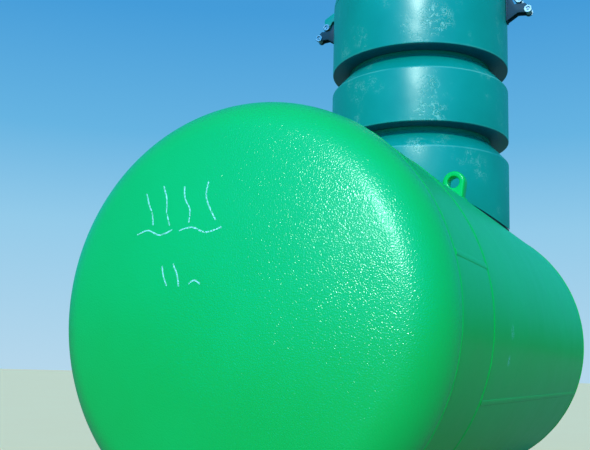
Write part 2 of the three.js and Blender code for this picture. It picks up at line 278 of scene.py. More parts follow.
def powderCoat(name, main, pale, peelDepth, rough, shine, core=0.0, chips=()):
    # Epoxy powder coat baked on blasted steel: a broad haze of light under a glossy orange peel, whose
    # dimples break the lamp into sparks; its reflections have little red in them
    # (patterns of 310, 90, 4, 140 and 10 mm; the peel is coarser than some of the real one, so that it shows)
    grain = {"cloud": 3.2, "dust": 11.0, "peel": 255.0, "wave": 7.0, "chip": 95.0}
    material, tree, shader, place = startMaterial(name)
    cloud = addNode(tree, "TexNoise", {0: place, "Scale": grain["cloud"], "Detail": 3.0}).outputs["Fac"]
    haze = addNode(tree, "MapRange", {0: cloud, 1: 0.35, 2: 0.70}).outputs[0]
    colour = addNode(tree, "Mix", {0: haze, 6: main, 7: pale}, data_type="RGBA").outputs[2]
    if chips:  # rubbed spots with a chalky look
        lines = scratchLines(tree, place, grain["chip"], 0.09)
        spots = nearSpots(tree, place, chips)
        worn = addNode(tree, "Math", {0: spots, 1: lines}, operation="MULTIPLY").outputs[0]
        colour = addNode(tree, "Mix", {0: worn, 6: colour, 7: "#8fdcb2"}, data_type="RGBA").outputs[2]
    dust = addNode(tree, "TexNoise", {0: place, "Scale": grain["dust"], "Detail": 6.0,
                                      "Roughness": 0.7}).outputs["Fac"]
    sheen = addNode(tree, "MapRange", {0: dust, 1: 0.35, 2: 0.75, 3: rough[0], 4: rough[1]}).outputs[0]
    peel = addNode(tree, "TexNoise", {0: place, "Scale": grain["peel"], "Detail": 0.0}).outputs["Fac"]
    wave = addNode(tree, "TexNoise", {0: place, "Scale": grain["wave"], "Detail": 1.0}).outputs["Fac"]
    # the plate isn't quite true
    slow = addNode(tree, "Bump", {"Distance": 0.0012, "Height": wave}).outputs[0]
    fine = addNode(tree, "Bump", {"Distance": peelDepth, "Height": peel, "Normal": slow}).outputs[0]
    setSockets(tree, shader, {
        "Base Color": colour, "Roughness": sheen, "Normal": slow, "IOR": 1.52, "Metallic": 0.0,
        "Specular IOR Level": 0.35, "Specular Tint": "#5cf4fb",
        "Coat Weight": shine, "Coat Roughness": 0.21, "Coat IOR": 1.5, "Coat Normal": fine,
    })
    if core:  # the lamp's own soft streak, lightly broken up by the peel
        light = addNode(tree, "Bump", {"Distance": peelDepth * 0.3, "Height": peel,
                                       "Normal": slow}).outputs[0]
        film = addNode(tree, "BsdfAnisotropic", {"Color": (core, core, core, 1), "Roughness": 0.29,
                                                 "Normal": light}).outputs[0]
        both = addNode(tree, "AddShader", {0: shader.outputs[0], 1: film}).outputs[0]
        setSockets(tree, tree.nodes["Material Output"], {"Surface": both})
    return material


def mouldedPlastic(name, main, pale, scuffAndHighlight, paintedShadeColour, gloss=(0.30, 0.37), shine=0.5, rubsAndGlints=(), edgeHighlights=()):
    # Rotomoulded polyethylene: waxy, softly glossy, a pebbled skin, scraped paler where it was handled
    # (patterns of 250, 125, 30, 22, 12, 110 and 3 mm)
    grain = {"cloud": 4.0, "patch": 8.0, "gap": 34.0, "curl": 46.0, "nick": 80.0, "wave": 9.0,
             "pebble": 330.0}
    material, tree, shader, place = startMaterial(name)
    cloud = addNode(tree, "TexNoise", {0: place, "Scale": grain["cloud"], "Detail": 4.0}).outputs["Fac"]
    tone = addNode(tree, "MapRange", {0: cloud, 1: 0.35, 2: 0.7}).outputs[0]
    clean = addNode(tree, "Mix", {0: tone, 6: main, 7: pale}, data_type="RGBA").outputs[2]

    # scuffs: broken scratches in faint patches all over, and in full at the rubbed spots; these sit in the
    # lamp's streak, so their paleness there is real wear and partly painted glint
    patch = addNode(tree, "TexNoise", {0: place, "Scale": grain["patch"], "Detail": 3.0}).outputs["Fac"]
    patches = addNode(tree, "MapRange", {0: patch, 1: 0.55, 2: 0.70, 4: 0.45}).outputs[0]
    spots = nearSpots(tree, place, rubsAndGlints)
    where = addNode(tree, "Math", {0: patches, 1: spots}, operation="MAXIMUM").outputs[0]
    curls = scratchLines(tree, place, grain["curl"], 0.034, (1, 1, 0.55))
    nicks = scratchLines(tree, place, grain["nick"], 0.040, (0.6, 0.6, 1.2))
    lines = addNode(tree, "Math", {0: curls, 1: nicks}, operation="MAXIMUM").outputs[0]
    gaps = addNode(tree, "TexNoise", {0: place, "Scale": grain["gap"], "Detail": 2.0}).outputs["Fac"]
    broken = addNode(tree, "MapRange", {0: gaps, 1: 0.44, 2: 0.54}).outputs[0]
    torn = addNode(tree, "Math", {0: lines, 1: broken}, operation="MULTIPLY").outputs[0]
    worn = addNode(tree, "Math", {0: where, 1: torn}, operation="MULTIPLY").outputs[0]
    scuffsAndEdgeLight = addNode(tree, "Math", {0: worn, 1: 0.62}, operation="MULTIPLY").outputs[0]
    height = addNode(tree, "SeparateXYZ", {0: place}).outputs["Z"]
    for highlightHeight, share in edgeHighlights:  # painted highlight: a thin pale line, here and there, along each edge, where the edge catches the lamp
        off = addNode(tree, "Math", {0: height, 1: highlightHeight}, operation="SUBTRACT").outputs[0]
        away = addNode(tree, "Math", {0: off}, operation="ABSOLUTE").outputs[0]
        line = addNode(tree, "MapRange", {0: away, 1: 0.0010, 2: 0.0040, 3: share, 4: 0.0}).outputs[0]
        paintedEdgeLight = addNode(tree, "Math", {0: line, 1: tone}, operation="MULTIPLY").outputs[0]
        scuffsAndEdgeLight = addNode(tree, "Math", {0: paintedEdgeLight, 1: scuffsAndEdgeLight}, operation="MAXIMUM").outputs[0]
    rubbed = addNode(tree, "Mix", {0: scuffsAndEdgeLight, 6: clean, 7: scuffAndHighlight}, data_type="RGBA").outputs[2]

    # painted shade: faces turned downwards are mixed towards a darker, bluer colour, as the shade under each
    # module
    normal = addNode(tree, "NewGeometry").outputs["Normal"]
    facing = addNode(tree, "SeparateXYZ", {0: normal}).outputs["Z"]
    paintedUnderShade = addNode(tree, "MapRange", {0: facing, 1: -0.3, 2: -0.8}).outputs[0]
    colour = addNode(tree, "Mix", {0: paintedUnderShade, 6: rubbed, 7: paintedShadeColour}, data_type="RGBA").outputs[2]

    sheen = addNode(tree, "MapRange", {0: cloud, 1: 0.3, 2: 0.7, 3: gloss[0], 4: gloss[1]}).outputs[0]
    pebble = addNode(tree, "TexNoise", {0: place, "Scale": grain["pebble"], "Detail": 2.0}).outputs["Fac"]
    wave = addNode(tree, "TexNoise", {0: place, "Scale": grain["wave"], "Detail": 1.0}).outputs["Fac"]
    slow = addNode(tree, "Bump", {"Distance": 0.0018, "Height": wave}).outputs[0]
    skin = addNode(tree, "Bump", {"Distance": 0.00016, "Height": pebble, "Normal": slow}).outputs[0]
    cut = addNode(tree, "Bump", {"Distance": 0.0006, "Height": worn, "Normal": skin}, invert=True).outputs[0]
    setSockets(tree, shader, {"Base Color": colour, "Roughness": sheen, "Normal": cut, "IOR": 1.51,
                              "Metallic": 0.0, "Specular IOR Level": shine})
    return material


def sealRubber(name):
    # EPDM sealing profile: dull near-black with a faint grey bloom in 25 mm clouds
    material, tree, shader, place = startMaterial(name)
    bloom = addNode(tree, "TexNoise", {0: place, "Scale": 40.0, "Detail": 4.0}).outputs["Fac"]
    colour = addNode(tree, "Mix", {0: bloom, 6: "#101413", 7: "#2a3130"}, data_type="RGBA").outputs[2]
    setSockets(tree, shader, {"Base Color": colour, "Roughness": 0.8, "IOR": 1.5})
    return material


def galvanisedSteel(name):
    # Hot-dip galvanised steel: bright grey zinc with faint 6 mm crystals and duller patches of 17 mm
    material, tree, shader, place = startMaterial(name)
    spangle = addNode(tree, "TexVoronoi", {0: place, "Scale": 180.0}).outputs["Color"]
    colour = addNode(tree, "Mix", {0: spangle, 6: "#7d888f", 7: "#a7b2b9"}, data_type="RGBA").outputs[2]
    dull = addNode(tree, "TexNoise", {0: place, "Scale": 60.0, "Detail": 3.0}).outputs["Fac"]
    gloss = addNode(tree, "MapRange", {0: dull, 1: 0.3, 2: 0.7, 3: 0.3, 4: 0.5}).outputs[0]
    setSockets(tree, shader, {"Base Color": colour, "Roughness": gloss, "Metallic": 1.0})
    return material


def waxChalk(name):
    # Dry marking chalk: flat white in 2 mm grains, slightly tinted by the paint under it
    material, tree, shader, place = startMaterial(name)
    grain = addNode(tree, "TexNoise", {0: place, "Scale": 500.0, "Detail": 2.0}).outputs["Fac"]
    colour = addNode(tree, "Mix", {0: grain, 6: "#a8efcb", 7: "#f4fff9"}, data_type="RGBA").outputs[2]
    setSockets(tree, shader, {"Base Color": colour, "Roughness": 0.9})
    return material


# Spots are (middle, reach), edge highlights are (height, strength), each a painted highlight line along a
# neck edge
headCoat = powderCoat("powderCoatGreenHead", "#00bd48", "#00c14e", peelDepth=0.00140, rough=(0.42, 0.46),
                      shine=1.0, core=0.017)
# the rolled shell takes the powder more smoothly than the pressed ends
# its green is a little brighter than the ends': painted light, for the shell that the lamp only grazes
vesselCoat = powderCoat("powderCoatGreen", "#00c13f", "#00c545", peelDepth=0.00022, rough=(0.38, 0.42),
                        shine=0.5, chips=[((-0.477, -0.600, 0.684), 0.026), ((-0.496, -0.591, 0.597), 0.020)])
# the fourth colour is painted shade for the faces turned downwards
neckPlastic = mouldedPlastic(
    "rotoMouldedPolyethyleneTeal", "#00907a", "#009a83", "#c0dcbe", "#004f6a", shine=0.65,
    # the pale scuff colour also paints the highlight lines along the module edges
    edgeHighlights=((1.455, 0.36), (1.561, 0.12), (1.783, 0.36), (1.888, 0.12)),
    # rubbed spots in the lamp's streak: real scratches, painted paler there as partly painted glint
    rubsAndGlints=[((0.060, -0.168, 1.600), 0.078), ((0.058, -0.162, 1.700), 0.055), ((0.070, -0.190, 1.985), 0.085),
          ((0.040, -0.115, 1.470), 0.055)])
# glass-filled nylon, injection moulded: nearly black and duller, for the glass that shows through its skin
bracketNylon = mouldedPlastic("glassFilledNylonDark", "#002a3a", "#023344", "#1f5664", "#002a3a",
                              gloss=(0.55, 0.65))
rubber = sealRubber("epdmSealBlack")
zinc = galvanisedSteel("hotDipGalvanisedSteel")
chalk = waxChalk("markingChalkWhite")


def finishPiece(obj, material, slotName, *nodes, smooth=32):  # faces up to this angle shade as one
    takeUp(obj)
    bpy.ops.object.shade_smooth_by_angle(angle=math.radians(smooth))
    obj.data.materials.clear()
    obj.data.materials.append(material)
    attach(obj, "root")
    if nodes:
        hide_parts(*nodes)


print("materials made")

# Vessel: two dished ends and two courses

head = {"crownRings": 14, "knuckleRings": 16, "innerEvery": 3, "lip": (0.0010, 0.0012), "steps": 192}
knuckleRing = tank["radius"] - tank["knuckle"]  # distance of the knuckle's own middle from the axis
knuckleDrop = math.sqrt((tank["crown"] - tank["knuckle"]) ** 2 - knuckleRing ** 2)
knuckleEnd = math.acos(knuckleRing / (tank["crown"] - tank["knuckle"]))  # where it runs into the crown


def headDepth(radius):  # how far the dished end stands out past its seam, at this distance from the axis
    if radius <= tank["crown"] * math.cos(knuckleEnd):
        return tank["flange"] - knuckleDrop + math.sqrt(tank["crown"] ** 2 - radius ** 2)
    return tank["flange"] + math.sqrt(max(0.0, tank["knuckle"] ** 2 - (radius - knuckleRing) ** 2))


def headProfile():
    outside, plate = tank["radius"], tank["plate"]
    points = [(outside - plate, 0.0), (outside - head["lip"][0], 0.0), (outside, head["lip"][1])]
    for k in range(1, head["knuckleRings"] + 1):
        turn = knuckleEnd * k / head["knuckleRings"]
        points.append((knuckleRing + tank["knuckle"] * math.cos(turn),
                       tank["flange"] + tank["knuckle"] * math.sin(turn)))
    for k in range(1, head["crownRings"] + 1):
        turn = knuckleEnd + (math.pi / 2 - knuckleEnd) * k / head["crownRings"]
        radius = 0.0 if k == head["crownRings"] else tank["crown"] * math.cos(turn)
        points.append((radius, headDepth(radius)))
    inner = [(max(0.0, radius - plate), headDepth(radius) - plate)
             for radius, depth in points[3::head["innerEvery"]]]
    return points + [(0.0, points[-1][1] - plate)] + inner[::-1] + [points[0]]


for end, way in (("near", -1), ("far", 1)):
    profile = [(radius, way * (tank["seamX"] + depth)) for radius, depth in headProfile()]
    piece = spunShape(end + "DishedEnd", profile, head["steps"], "X", tankMiddle)
    finishPiece(piece, headCoat, "vesselCoat", end + "_head")

course = {
    "shrink": 0.0011,  # each ring weld pulls the plate in by about 1 mm
    "reach": 0.045,
    "stations": (0, 0.006, 0.015, 0.025, 0.035, 0.045, 0.070, 0.110),
    "steps": 192,
}


def courseProfile(start, end):
    inside = tank["radius"] - tank["plate"]
    outer = []
    for reach in course["stations"]:
        pull = course["shrink"] * max(0.0, 1 - reach / course["reach"]) ** 2
        outer.append((tank["radius"] - pull, start + reach))
    outer += [(radius, end - (x - start)) for radius, x in reversed(outer)]
    return [(inside, start)] + outer + [(inside, end), (inside, start)]


for name, start, end, node in (("narrowCourse", -tank["seamX"], tank["courseX"], "near_course"),
                               ("longCourse", tank["courseX"], tank["seamX"], "main_course")):
    piece = spunShape(name, courseProfile(start, end), course["steps"], "X", tankMiddle)
    finishPiece(piece, vesselCoat, "vesselCoat", node)

print("vessel shell made")

# Butt welds of the rings and of the long seams

bead = {
    "width": 0.018, "height": 0.0016, "sunk": 0.0016, "across": 10, "steps": 384,
    "ripple": 0.0002, "scale": 0.011, "slice": 0.004, "sides": 20,
    "uneven": 0.3, "troughs": 0.6,  # shares of the ripple: by chance, and how far all of it lies lower
}


def rippled(obj, along):  # the overlapping scales that a weld run leaves, 11 mm apart, on its upper half
    rng = random.Random(along)
    for vertex in obj.data.vertices:
        rise = math.hypot(vertex.co.y, vertex.co.z - tank["axisZ"]) - tank["radius"]
        if rise < bead["height"] / 2:
            continue
        turn = math.atan2(vertex.co.z - tank["axisZ"], vertex.co.y)
        run = vertex.co.x if along == "straight" else turn * tank["radius"]
        swell = (math.sin(run * math.tau / bead["scale"]) * bead["ripple"]
                 + rng.uniform(-1, 1) * bead["ripple"] * bead["uneven"])
        pull = 1 + min(0.0, swell - bead["ripple"] * bead["troughs"]) / tank["radius"]
        vertex.co.y *= pull
        vertex.co.z = tank["axisZ"] + (vertex.co.z - tank["axisZ"]) * pull


for name, x, node in (("nearHeadWeld", -tank["seamX"], "near_head_weld"),
                      ("courseWeld", tank["courseX"], "course_weld"),
                      ("farHeadWeld", tank["seamX"], "far_head_weld")):
    profile = []
    for k in range(bead["across"] + 1):  # a low crown with soft toes, as the coat fills them
        across = k / bead["across"] - 0.5
        rise = (bead["height"] + bead["sunk"]) * math.cos(math.pi * across) ** 2
        profile.append((tank["radius"] - bead["sunk"] + rise, x + bead["width"] * across))
    piece = spunShape(name, profile + [profile[0]], bead["steps"], "X", tankMiddle)
    rippled(piece, "round")
    finishPiece(piece, vesselCoat, "vesselCoat", node, smooth=60)

for name, start, end, degrees, node in (
        ("narrowCourseSeam", -tank["seamX"], tank["courseX"], 165, "near_course_seam"),
        ("longCourseSeam", tank["courseX"], tank["seamX"], -158, "main_course_seam")):
    span = end - start - bead["width"]
    deselectAll()
    bpy.ops.mesh.primitive_cylinder_add(vertices=bead["sides"], radius=bead["width"] / 2, depth=span,
                                        location=((start + end) / 2, 0, 0), rotation=(0, math.pi / 2, 0))
    piece = settle(nameIt(name))
    bpy.ops.object.mode_set(mode="EDIT")
    bpy.ops.mesh.select_all(action="SELECT")
    bpy.ops.transform.resize(value=(1, 1, bead["height"] / (bead["width"] / 2)), center_override=(0, 0, 0))
    bpy.ops.object.mode_set(mode="OBJECT")
    mesh = bmesh.new()
    mesh.from_mesh(piece.data)
    lengthwise = [edge for edge in mesh.edges if abs(edge.verts[0].co.x - edge.verts[1].co.x) > span / 2]
    bmesh.ops.subdivide_edges(mesh, edges=lengthwise, cuts=int(span / bead["slice"]), use_grid_fill=True)
    mesh.to_mesh(piece.data)
    mesh.free()
    turn = Matrix.Rotation(math.radians(degrees) - math.pi / 2, 4, "X")
    piece.data.transform(Matrix.Translation(tankMiddle) @ turn @ Matrix.Translation((0, 0, tank["radius"])))
    rippled(piece, "straight")
    finishPiece(piece, vesselCoat, "vesselCoat", node, smooth=60)

print("welds made")

# Lifting lugs

lug = {
    "x": -0.016, "side": 0.289, "eyeAbove": 0.046, "eyeRadius": 0.043, "holeRadius": 0.023, "sunk": 0.034,
    "thickness": 0.046, "baseHalf": 0.032, "rimBevel": 0.0085, "holeBevel": 0.0025, "steps": 60,
    "weld": 0.0065, "weldOut": 0.003, "weldSteps": 96,
    "legShare": 0.4,  # of the outline's lower half: one leg, the other leg, and the bottom with what is left
}


def lugOutline(turn):  # (side, up) from the eye's middle: round above it, legs down into the shell below it
    if turn <= math.pi:
        return lug["eyeRadius"] * math.cos(turn), lug["eyeRadius"] * math.sin(turn)
    down = lug["sunk"] + lug["eyeAbove"]
    part = (turn - math.pi) / math.pi
    along = min(part, 1 - part) / lug["legShare"]
    if along < 1:
        side = lug["eyeRadius"] - (lug["eyeRadius"] - lug["baseHalf"]) * along
        return math.copysign(side, part - 0.5), -down * along
    return lug["baseHalf"] * (part - 0.5) / (0.5 - lug["legShare"]), -down


def liftingLug(name, x, y):
    eyeZ = onShell(y) + lug["eyeAbove"]
    deselectAll()
    bpy.ops.mesh.primitive_circle_add(vertices=lug["steps"], radius=lug["eyeRadius"], fill_type="NOTHING",
                                      location=(x - lug["thickness"] / 2, y, eyeZ),
                                      rotation=(0, math.pi / 2, 0))
    obj = settle(nameIt(name))
    bpy.ops.object.mode_set(mode="EDIT")
    bpy.ops.mesh.select_mode(type="EDGE")
    bpy.ops.mesh.select_all(action="SELECT")
    shrink = lug["holeRadius"] / lug["eyeRadius"]
    bpy.ops.mesh.extrude_edges_move()
    bpy.ops.transform.resize(value=(1, shrink, shrink), center_override=(x, y, eyeZ))
    mesh = bmesh.from_edit_mesh(obj.data)
    for vertex in mesh.verts:
        across, up = vertex.co.y - y, vertex.co.z - eyeZ
        if math.hypot(across, up) > lug["eyeRadius"] * 0.98:
            across, up = lugOutline(math.atan2(up, across) % math.tau)
            vertex.co.y, vertex.co.z = y + across, eyeZ + up
    bmesh.update_edit_mesh(obj.data)
    bpy.ops.mesh.select_mode(type="FACE")
    bpy.ops.mesh.select_all(action="SELECT")
    bpy.ops.mesh.extrude_region_move(TRANSFORM_OT_translate={"value": (lug["thickness"], 0, 0)})
    bpy.ops.mesh.select_all(action="SELECT")
    bpy.ops.mesh.normals_make_consistent(inside=False)
    for inside, width, segments in ((True, lug["holeBevel"], 2), (False, lug["rimBevel"], 5)):
        bpy.ops.mesh.select_mode(type="EDGE")
        bpy.ops.mesh.select_all(action="DESELECT")
        mesh = bmesh.from_edit_mesh(obj.data)
        for edge in mesh.edges:
            flat = abs(edge.verts[0].co.x - edge.verts[1].co.x) < 0.0001
            corner = len(edge.link_faces) == 2 and edge.calc_face_angle() > 1.2
            away = min(math.hypot(v.co.y - y, v.co.z - eyeZ) for v in edge.verts)
            edge.select_set(flat and corner and (away < lug["holeRadius"] * 1.05) == inside)
        bmesh.update_edit_mesh(obj.data)
        bpy.ops.mesh.bevel(offset=width, segments=segments)
    bpy.ops.object.mode_set(mode="OBJECT")
    halfX, halfY = lug["thickness"] / 2, lug["baseHalf"] + lug["weldOut"]
    corners = [(x + i * halfX, y + j * halfY) for i, j in ((-1, -1), (1, -1), (1, 1), (-1, 1))]
    weld = filletWeld(name + "Weld", corners, onShell, lug["weld"], lug["weldSteps"])
    return joined(name, [obj, weld])


for side, y in (("right", -lug["side"]), ("left", lug["side"])):
    piece = liftingLug("liftingLug" + side.title(), lug["x"], y)
    finishPiece(piece, vesselCoat, "vesselCoat", "lifting_lug_" + side, smooth=45)

print("lifting lugs made")

# Feet: a cross-shaped web on a plate at each corner

foot = {
    "along": 0.800, "side": 0.255, "plate": (0.140, 0.200, 0.012), "web": (0.100, 0.160, 0.010),
    "rise": 0.1,  # the web's height until its top is cut to the shell
    "sunk": 0.003, "plateBevel": 0.0015, "webBevel": 0.0012, "weld": 0.006, "weldSteps": 160,
}


def crossOutline(x, y):
    a, b, t = (size / 2 for size in foot["web"])
    return [(x + i, y + j) for i, j in ((-t, -b), (t, -b), (t, -t), (a, -t), (a, t), (t, t), (t, b), (-t, b),
                                        (-t, t), (-a, t), (-a, -t), (-t, -t))]


for end, x in (("near", -foot["along"]), ("far", foot["along"])):
    for side, y in (("right", -foot["side"]), ("left", foot["side"])):
        label = end.title() + side.title()
        bottom = foot["plate"][2]
        base = boxPiece("footPlate" + label, foot["plate"], (x, y, bottom / 2))
        softBevel(base, foot["plateBevel"])
        finishPiece(base, vesselCoat, "vesselCoat", f"foot_plate_{end}_{side}")
        outline = crossOutline(x, y)
        web = raisedFace("footWeb" + label, [(px, py, bottom) for px, py in outline], (0, 0, foot["rise"]))
        for vertex in web.data.vertices:
            if vertex.co.z > bottom + foot["rise"] / 2:
                vertex.co.z = onShell(vertex.co.y, -foot["sunk"], -1)
        softBevel(web, foot["webBevel"], angle=60)
        size, steps = foot["weld"], foot["weldSteps"]
        lower = filletWeld("lowerWeld", outline, lambda py: bottom, size, steps)
        upper = filletWeld("upperWeld", outline, lambda py: onShell(py, way=-1), size, steps)
        finishPiece(joined("footWeb" + label, [web, lower, upper]), vesselCoat, "vesselCoat",
                    f"foot_web_{end}_{side}", smooth=40)

print("feet made")

# Service neck: three modules, each on the spigot of the one below, and a lid. Heights from the tank's axis.

neck = {
    "x": 0.412, "radius": 0.390, "spigot": 0.314, "wall": 0.009, "steps": 160,
    "lowerBottom": 0.50, "lowerShoulder": 0.755, "middleBottom": 0.855, "middleShoulder": 1.083,
    "upperBottom": 1.182, "upperTop": 1.493, "rise": 0.084, "spigotRise": 0.050, "rimInset": 0.030,
    "round": 0.006, "heel": 0.006, "sawn": 0.5, "fit": 0.0005,
}
seal = {"thick": 0.006, "inward": 0.006, "outward": 0.002, "round": 0.0015, "gap": 0.0003}
neckCentre = (neck["x"], 0, tank["axisZ"])
radius, spigot, wall = neck["radius"], neck["spigot"], neck["wall"]
bore = spigot + neck["fit"]  # the hole in a module's floor, round the spigot of the one below


def neckModule(name, bottom, shoulder, hasFloor, node):
    top = shoulder + neck["rise"]
    corners = [
        (radius, bottom, neck["heel"]),
        (radius, shoulder, neck["round"]),
        (spigot, top, 0.012),
        (spigot, top + neck["spigotRise"], 0.002),
        (spigot - wall, top + neck["spigotRise"], 0.002),
        (spigot - wall, top - wall / 2, 0.006),
        (radius - wall, shoulder - wall / 2, 0.020),
    ]
    if hasFloor:
        corners += [
            (radius - wall, bottom + wall, 0.004),
            (bore, bottom + wall, 0.001),
            (bore, bottom, 0.002),
        ]
    else:
        corners += [(radius - wall, bottom, 0.0)]
    obj = spunShape(name, softened(corners), neck["steps"], "Z", neckCentre)
    if not hasFloor:  # the foot is sawn to a saddle that follows the shell
        for vertex in obj.data.vertices:
            if vertex.co.z < tank["axisZ"] + bottom + neck["heel"] * 1.01:
                lift = vertex.co.z - tank["axisZ"] - bottom
                vertex.co.z = onShell(vertex.co.y, seal["thick"] + seal["gap"] * 2) + lift * neck["sawn"]
    finishPiece(obj, neckPlastic, "neckPlastic", node, smooth=40)


neckModule("neckLower", neck["lowerBottom"], neck["lowerShoulder"], False, "neck_lower")
neckModule("neckMiddle", neck["middleBottom"], neck["middleShoulder"], True, "neck_middle")

floorTop, rimUnder, rimInner = neck["upperBottom"] + wall, neck["upperTop"] - wall, radius - neck["rimInset"]
upperCorners = [
    (bore, neck["upperBottom"], 0.002),
    (radius, neck["upperBottom"], neck["heel"]),
    (radius, neck["upperTop"], 0.0012),
    (rimInner, neck["upperTop"], 0.001),
    (rimInner, rimUnder, 0.001),
    (radius - wall, rimUnder, 0.003),
    (radius - wall, floorTop, 0.004),
    (bore, floorTop, 0.001),
]
piece = spunShape("neckUpper", softened(upperCorners), neck["steps"], "Z", neckCentre)
finishPiece(piece, neckPlastic, "neckPlastic", "neck_upper", smooth=40)

sealInner, sealOuter = radius - wall - seal["inward"], radius - seal["outward"]
sealBottom, sealTop = neck["lowerBottom"], neck["lowerBottom"] + seal["thick"]
sealCorners = [(sealOuter, sealBottom, 0.0), (sealOuter, sealTop, seal["round"]),
               (sealInner, sealTop, seal["round"]), (sealInner, sealBottom, 0.0)]
piece = spunShape("neckSeal", softened(sealCorners, 3), neck["steps"], "Z", neckCentre)
for vertex in piece.data.vertices:
    vertex.co.z = onShell(vertex.co.y, seal["gap"]) + vertex.co.z - tank["axisZ"] - sealBottom
finishPiece(piece, rubber, "sealRubber", "neck_seal", smooth=50)

lid = {
    "corner": 0.120, "crown": 0.016, "lip": 0.024, "gap": 0.0003, "edge": (0.0012, 0.001),
    "cornerSteps": 14, "crownSteps": 8,
}
lidBottom = neck["upperTop"] + lid["gap"]
lipOuter = rimInner - lid["gap"]
lipInner = lipOuter - wall
flat = radius - lid["corner"]
lidPoints = [(lipInner, lidBottom - lid["lip"]), (lipOuter, lidBottom - lid["lip"]), (lipOuter, lidBottom),
             (radius - lid["edge"][0], lidBottom)]
for k in range(lid["cornerSteps"] + 1):
    turn = math.pi / 2 * k / lid["cornerSteps"]
    lidPoints.append((flat + lid["corner"] * math.cos(turn),
                      lidBottom + lid["edge"][1] + (lid["corner"] - lid["edge"][1]) * math.sin(turn)))
for k in range(1, lid["crownSteps"] + 1):  # the crown is a shallow dome inside the rounded corner
    reach = flat * (1 - k / lid["crownSteps"])
    lidPoints.append((reach, lidBottom + lid["corner"] + lid["crown"] * (1 - (reach / flat) ** 2)))
inner = [(0.0, lidPoints[-1][1] - wall)]
innerCorner = lid["corner"] - wall
for k in range(lid["crownSteps"] + 1):
    turn = math.pi / 2 * (1 - k / lid["crownSteps"])
    inner.append((flat + innerCorner * math.cos(turn), lidBottom + innerCorner * math.sin(turn)))
inner = [point for point in inner if point[0] <= lipInner]
inner.append((lipInner, lidBottom + lid["corner"] / 3))
piece = spunShape("neckLid", lidPoints + inner + [lidPoints[0]], neck["steps"], "Z", neckCentre)
finishPiece(piece, neckPlastic, "neckPlastic", "neck_lid", smooth=40)

print("neck made")

# Lid latches, made once in their own frame (X away from the neck, Y along the pins) and set on both sides

latch = {
    "turn": 5, "wallX": 0.3903, "eyeOut": 0.055, "eyeLevel": 1.476, "eyeRadius": 0.014, "eyeHead": 0.016,
    "hingeOut": 0.093, "hingeLevel": 1.427, "hingeHead": 0.017, "noseRadius": 0.0145,
    "cheekInner": 0.014, "cheekThick": 0.006, "foot": 1.384, "knee": (0.050, 1.417), "crown": 1.486,
    "backThick": 0.006, "backWide": 0.048, "shelf": (0.036, 0.036, 0.007), "shelfOut": 0.016,
    "bracketBevel": 0.0012, "earBevel": 0.0015, "rootWide": 0.030, "clear": 0.005,
}
wallX = latch["wallX"]
eyeX, eyeZ = wallX + latch["eyeOut"], latch["eyeLevel"]
hingeX, hingeZ = wallX + latch["hingeOut"], latch["hingeLevel"]
bracketTop = eyeZ - latch["eyeRadius"] - latch["clear"]
cheekMiddle = latch["cheekInner"] + latch["cheekThick"] / 2


def roundNose(x, z, radius, start, end):  # outline points round an eye, angles in degrees
    turns = [math.radians(start + (end - start) * k / 8) for k in range(9)]
    return [(x + radius * math.cos(t), z + radius * math.sin(t)) for t in turns]


def pairOf(name, outline):  # the same plate at either end of the pins
    return [platePiece(name, outline, latch["cheekThick"], side * cheekMiddle) for side in (-1, 1)]


bracketOutline = [  # (out, up) corners, as in the other outlines here
    (wallX, latch["foot"]),
    (wallX + latch["knee"][0], latch["knee"][1]),
    *roundNose(hingeX, hingeZ, latch["noseRadius"], -110, 80),
    (hingeX - 0.013, bracketTop),
    (wallX + 0.036, bracketTop),
    (wallX + 0.024, latch["crown"]),
    (wallX, latch["crown"]),
]
cheeks = pairOf("cheek", bracketOutline)
backPlate = boxPiece("backPlate", (latch["backThick"], latch["backWide"], latch["crown"] - latch["foot"]),
                     (wallX + latch["backThick"] / 2, 0, (latch["crown"] + latch["foot"]) / 2))
shelf = boxPiece("shelf", latch["shelf"],
                 (wallX + latch["shelfOut"], 0, bracketTop - latch["shelf"][2] / 2))
bracket = joined("latchBracket", cheeks + [backPlate, shelf])
softBevel(bracket, latch["bracketBevel"])

earOutline = [
    (wallX - 0.040, eyeZ + 0.028),
    (eyeX - 0.030, eyeZ + 0.026),
    *roundNose(eyeX, eyeZ, latch["eyeRadius"] - 0.002, 200, 375),
    (eyeX + 0.010, eyeZ + 0.040),
    (wallX + 0.020, eyeZ + 0.068),
    (wallX - 0.040, eyeZ + 0.068),
]
rootOutline = [
    (wallX - 0.040, eyeZ + 0.029),
    (eyeX - 0.029, eyeZ + 0.031),
    (eyeX - 0.027, eyeZ + 0.036),
    (eyeX + 0.006, eyeZ + 0.046),
    (wallX + 0.019, eyeZ + 0.066),
    (wallX - 0.040, eyeZ + 0.066),
]
ears = pairOf("ear", earOutline)
lidEar = joined("lidEar", ears + [platePiece("earRoot", rootOutline, latch["rootWide"])])
softBevel(lidEar, latch["earBevel"])

link = {
    "width": 0.024, "bore": 0.0063, "boreRound": 0.0006, "eyeOuter": 0.012, "hingeOuter": 0.014,
    "outerRound": 0.0012, "steps": 32, "strapHalf": 0.0045, "strapIn": (0.009, 0.011), "strapBevel": 0.001,
}
rolls = []
for x, z, outer in ((eyeX, eyeZ, link["eyeOuter"]), (hingeX, hingeZ, link["hingeOuter"])):
    half = link["width"] / 2
    ring = [(link["bore"], -half, link["boreRound"]), (outer, -half, link["outerRound"]),
            (outer, half, link["outerRound"]), (link["bore"], half, link["boreRound"])]
    rolls.append(spunShape("roll", softened(ring, 2), link["steps"], "Y", (x, 0, z)))
run = Vector((hingeX - eyeX, hingeZ - eyeZ)).normalized()
off = Vector((-run.y, run.x)) * link["strapHalf"]
upper = Vector((eyeX, eyeZ)) + run * link["strapIn"][0]
lower = Vector((hingeX, hingeZ)) - run * link["strapIn"][1]
